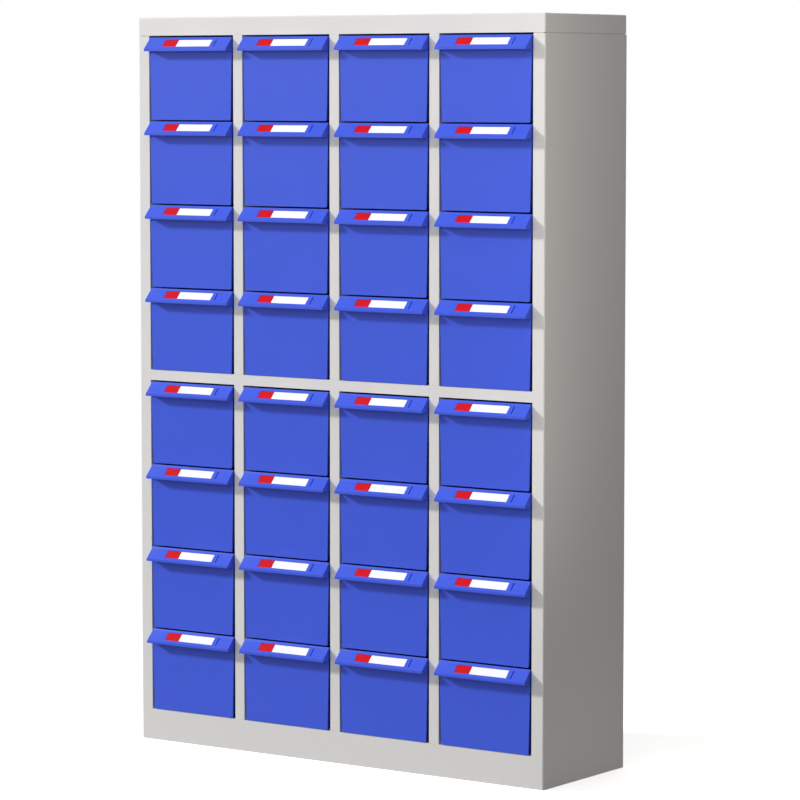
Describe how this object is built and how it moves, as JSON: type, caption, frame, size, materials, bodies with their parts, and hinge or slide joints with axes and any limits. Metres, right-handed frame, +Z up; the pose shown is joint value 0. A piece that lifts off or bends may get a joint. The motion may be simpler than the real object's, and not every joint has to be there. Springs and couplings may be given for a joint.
{
  "type": "parts bin cabinet",
  "caption": "Free-standing folded-steel parts cabinet with bays of deep blue moulded drawers that hang and slide on rim runners, each with a hooded pull and a label pocket.",
  "frame": {"origin": "on the floor, in the middle of the rectangle that the carcass and the pulls cover together", "axes": "+Z up, the drawers open towards -Y, +X to the right seen from the front"},
  "size_m": [0.745, 0.2356, 1.12],
  "materials": {
    "powder_coat": "light grey satin powder coat",
    "blue_plastic": "satin moulded plastic",
    "zinc_runners": "zinc-plated sheet",
    "zinc_screws": "zinc-plated"
  },
  "bodies": {
    "cabinet": {"top_cap": "powder_coat", "ceiling_panel": "powder_coat", "side_panel_left": "powder_coat", "side_panel_right": "powder_coat", "liner_left": "powder_coat", "liner_right": "powder_coat", "back_panel": "powder_coat", "middle_shelf": "powder_coat", "base_tray": "powder_coat", "back_screws": "zinc_screws", "divider_upper_1": "powder_coat", "divider_upper_2": "powder_coat", "divider_upper_3": "powder_coat", "divider_lower_1": "powder_coat", "divider_lower_2": "powder_coat", "divider_lower_3": "powder_coat", "runners_upper_1": "zinc_runners", "runners_upper_2": "zinc_runners", "runners_upper_3": "zinc_runners", "runners_upper_4": "zinc_runners", "runners_lower_1": "zinc_runners", "runners_lower_2": "zinc_runners", "runners_lower_3": "zinc_runners", "runners_lower_4": "zinc_runners"},
    "drawer_a1": {"drawer_a1": "blue_plastic"},
    "drawer_a2": {"drawer_a2": "blue_plastic"},
    "drawer_a3": {"drawer_a3": "blue_plastic"},
    "drawer_a4": {"drawer_a4": "blue_plastic"},
    "drawer_a5": {"drawer_a5": "blue_plastic"},
    "drawer_a6": {"drawer_a6": "blue_plastic"},
    "drawer_a7": {"drawer_a7": "blue_plastic"},
    "drawer_a8": {"drawer_a8": "blue_plastic"},
    "drawer_b1": {"drawer_b1": "blue_plastic"},
    "drawer_b2": {"drawer_b2": "blue_plastic"},
    "drawer_b3": {"drawer_b3": "blue_plastic"},
    "drawer_b4": {"drawer_b4": "blue_plastic"},
    "drawer_b5": {"drawer_b5": "blue_plastic"},
    "drawer_b6": {"drawer_b6": "blue_plastic"},
    "drawer_b7": {"drawer_b7": "blue_plastic"},
    "drawer_b8": {"drawer_b8": "blue_plastic"},
    "drawer_c1": {"drawer_c1": "blue_plastic"},
    "drawer_c2": {"drawer_c2": "blue_plastic"},
    "drawer_c3": {"drawer_c3": "blue_plastic"},
    "drawer_c4": {"drawer_c4": "blue_plastic"},
    "drawer_c5": {"drawer_c5": "blue_plastic"},
    "drawer_c6": {"drawer_c6": "blue_plastic"},
    "drawer_c7": {"drawer_c7": "blue_plastic"},
    "drawer_c8": {"drawer_c8": "blue_plastic"},
    "drawer_d1": {"drawer_d1": "blue_plastic"},
    "drawer_d2": {"drawer_d2": "blue_plastic"},
    "drawer_d3": {"drawer_d3": "blue_plastic"},
    "drawer_d4": {"drawer_d4": "blue_plastic"},
    "drawer_d5": {"drawer_d5": "blue_plastic"},
    "drawer_d6": {"drawer_d6": "blue_plastic"},
    "drawer_d7": {"drawer_d7": "blue_plastic"},
    "drawer_d8": {"drawer_d8": "blue_plastic"}
  },
  "joints": [
    {"name": "slide_a1", "type": "slide", "parent": "cabinet", "child": "drawer_a1", "axis": [0, -1, 0], "range_m": [0, 0.15]},
    {"name": "slide_a2", "type": "slide", "parent": "cabinet", "child": "drawer_a2", "axis": [0, -1, 0], "range_m": [0, 0.15]},
    {"name": "slide_a3", "type": "slide", "parent": "cabinet", "child": "drawer_a3", "axis": [0, -1, 0], "range_m": [0, 0.15]},
    {"name": "slide_a4", "type": "slide", "parent": "cabinet", "child": "drawer_a4", "axis": [0, -1, 0], "range_m": [0, 0.15]},
    {"name": "slide_a5", "type": "slide", "parent": "cabinet", "child": "drawer_a5", "axis": [0, -1, 0], "range_m": [0, 0.15]},
    {"name": "slide_a6", "type": "slide", "parent": "cabinet", "child": "drawer_a6", "axis": [0, -1, 0], "range_m": [0, 0.15]},
    {"name": "slide_a7", "type": "slide", "parent": "cabinet", "child": "drawer_a7", "axis": [0, -1, 0], "range_m": [0, 0.15]},
    {"name": "slide_a8", "type": "slide", "parent": "cabinet", "child": "drawer_a8", "axis": [0, -1, 0], "range_m": [0, 0.15]},
    {"name": "slide_b1", "type": "slide", "parent": "cabinet", "child": "drawer_b1", "axis": [0, -1, 0], "range_m": [0, 0.15]},
    {"name": "slide_b2", "type": "slide", "parent": "cabinet", "child": "drawer_b2", "axis": [0, -1, 0], "range_m": [0, 0.15]},
    {"name": "slide_b3", "type": "slide", "parent": "cabinet", "child": "drawer_b3", "axis": [0, -1, 0], "range_m": [0, 0.15]},
    {"name": "slide_b4", "type": "slide", "parent": "cabinet", "child": "drawer_b4", "axis": [0, -1, 0], "range_m": [0, 0.15]},
    {"name": "slide_b5", "type": "slide", "parent": "cabinet", "child": "drawer_b5", "axis": [0, -1, 0], "range_m": [0, 0.15]},
    {"name": "slide_b6", "type": "slide", "parent": "cabinet", "child": "drawer_b6", "axis": [0, -1, 0], "range_m": [0, 0.15]},
    {"name": "slide_b7", "type": "slide", "parent": "cabinet", "child": "drawer_b7", "axis": [0, -1, 0], "range_m": [0, 0.15]},
    {"name": "slide_b8", "type": "slide", "parent": "cabinet", "child": "drawer_b8", "axis": [0, -1, 0], "range_m": [0, 0.15]},
    {"name": "slide_c1", "type": "slide", "parent": "cabinet", "child": "drawer_c1", "axis": [0, -1, 0], "range_m": [0, 0.15]},
    {"name": "slide_c2", "type": "slide", "parent": "cabinet", "child": "drawer_c2", "axis": [0, -1, 0], "range_m": [0, 0.15]},
    {"name": "slide_c3", "type": "slide", "parent": "cabinet", "child": "drawer_c3", "axis": [0, -1, 0], "range_m": [0, 0.15]},
    {"name": "slide_c4", "type": "slide", "parent": "cabinet", "child": "drawer_c4", "axis": [0, -1, 0], "range_m": [0, 0.15]},
    {"name": "slide_c5", "type": "slide", "parent": "cabinet", "child": "drawer_c5", "axis": [0, -1, 0], "range_m": [0, 0.15]},
    {"name": "slide_c6", "type": "slide", "parent": "cabinet", "child": "drawer_c6", "axis": [0, -1, 0], "range_m": [0, 0.15]},
    {"name": "slide_c7", "type": "slide", "parent": "cabinet", "child": "drawer_c7", "axis": [0, -1, 0], "range_m": [0, 0.15]},
    {"name": "slide_c8", "type": "slide", "parent": "cabinet", "child": "drawer_c8", "axis": [0, -1, 0], "range_m": [0, 0.15]},
    {"name": "slide_d1", "type": "slide", "parent": "cabinet", "child": "drawer_d1", "axis": [0, -1, 0], "range_m": [0, 0.15]},
    {"name": "slide_d2", "type": "slide", "parent": "cabinet", "child": "drawer_d2", "axis": [0, -1, 0], "range_m": [0, 0.15]},
    {"name": "slide_d3", "type": "slide", "parent": "cabinet", "child": "drawer_d3", "axis": [0, -1, 0], "range_m": [0, 0.15]},
    {"name": "slide_d4", "type": "slide", "parent": "cabinet", "child": "drawer_d4", "axis": [0, -1, 0], "range_m": [0, 0.15]},
    {"name": "slide_d5", "type": "slide", "parent": "cabinet", "child": "drawer_d5", "axis": [0, -1, 0], "range_m": [0, 0.15]},
    {"name": "slide_d6", "type": "slide", "parent": "cabinet", "child": "drawer_d6", "axis": [0, -1, 0], "range_m": [0, 0.15]},
    {"name": "slide_d7", "type": "slide", "parent": "cabinet", "child": "drawer_d7", "axis": [0, -1, 0], "range_m": [0, 0.15]},
    {"name": "slide_d8", "type": "slide", "parent": "cabinet", "child": "drawer_d8", "axis": [0, -1, 0], "range_m": [0, 0.15]}
  ]
}
